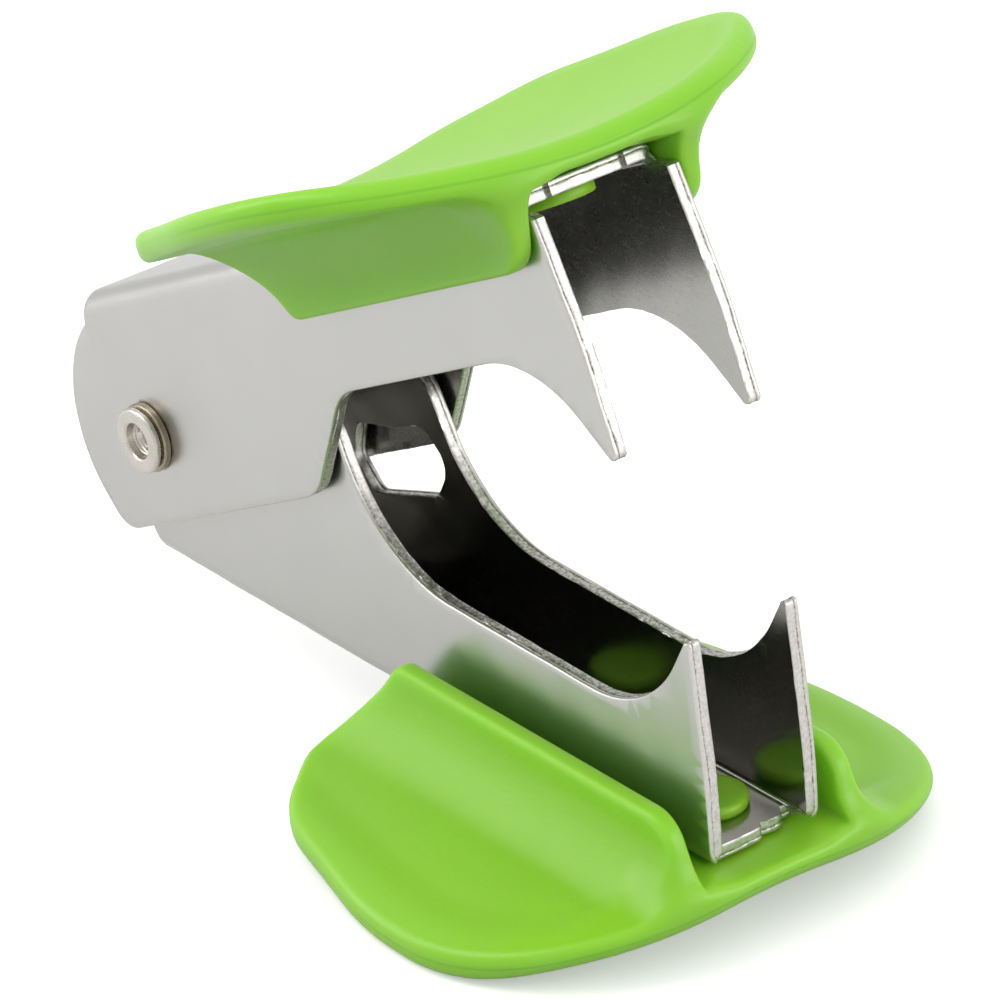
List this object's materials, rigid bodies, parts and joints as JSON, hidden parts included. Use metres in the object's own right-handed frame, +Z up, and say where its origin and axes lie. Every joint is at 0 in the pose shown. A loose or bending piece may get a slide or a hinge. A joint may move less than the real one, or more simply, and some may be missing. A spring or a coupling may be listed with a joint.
{
  "type": "staple remover",
  "caption": "Hand-held claw staple remover: nested sheet steel jaws with curved fangs on a sprung pivot, and dished plastic finger grips.",
  "frame": {"origin": "middle of the bounding box in X and Y, on the ground plane under the lower grip, with the jaws held open", "axes": "+Z up, square to the lower jaw's web; +X from the pivot towards the fangs; Y across the jaws, along the pivot axis"},
  "size_m": [0.0658, 0.0384, 0.0507],
  "materials": {
    "jaw_steel": "nickel plated, satin outside and bright inside",
    "grip_plastic": "lime green moulded plastic, soft satin gloss",
    "rivet_steel": "nickel plated, satin",
    "spring_steel": "bright drawn wire"
  },
  "bodies": {
    "lower": {"lower_jaw": "jaw_steel", "lower_grip": "grip_plastic", "torsion_spring": "spring_steel"},
    "upper": {"upper_jaw": "jaw_steel", "upper_grip": "grip_plastic", "pivot_rivet": "rivet_steel", "pivot_washer": "rivet_steel"}
  },
  "joints": [
    {"name": "jaw_pivot", "type": "hinge", "parent": "lower", "child": "upper", "pos_m": [-0.02415, 0, 0.0152], "axis": [0, 1, 0], "range_deg": [0, 28], "stiffness_Nm_per_rad": 0.15, "springref_deg": -34.38, "deforming": ["torsion_spring"]}
  ]
}
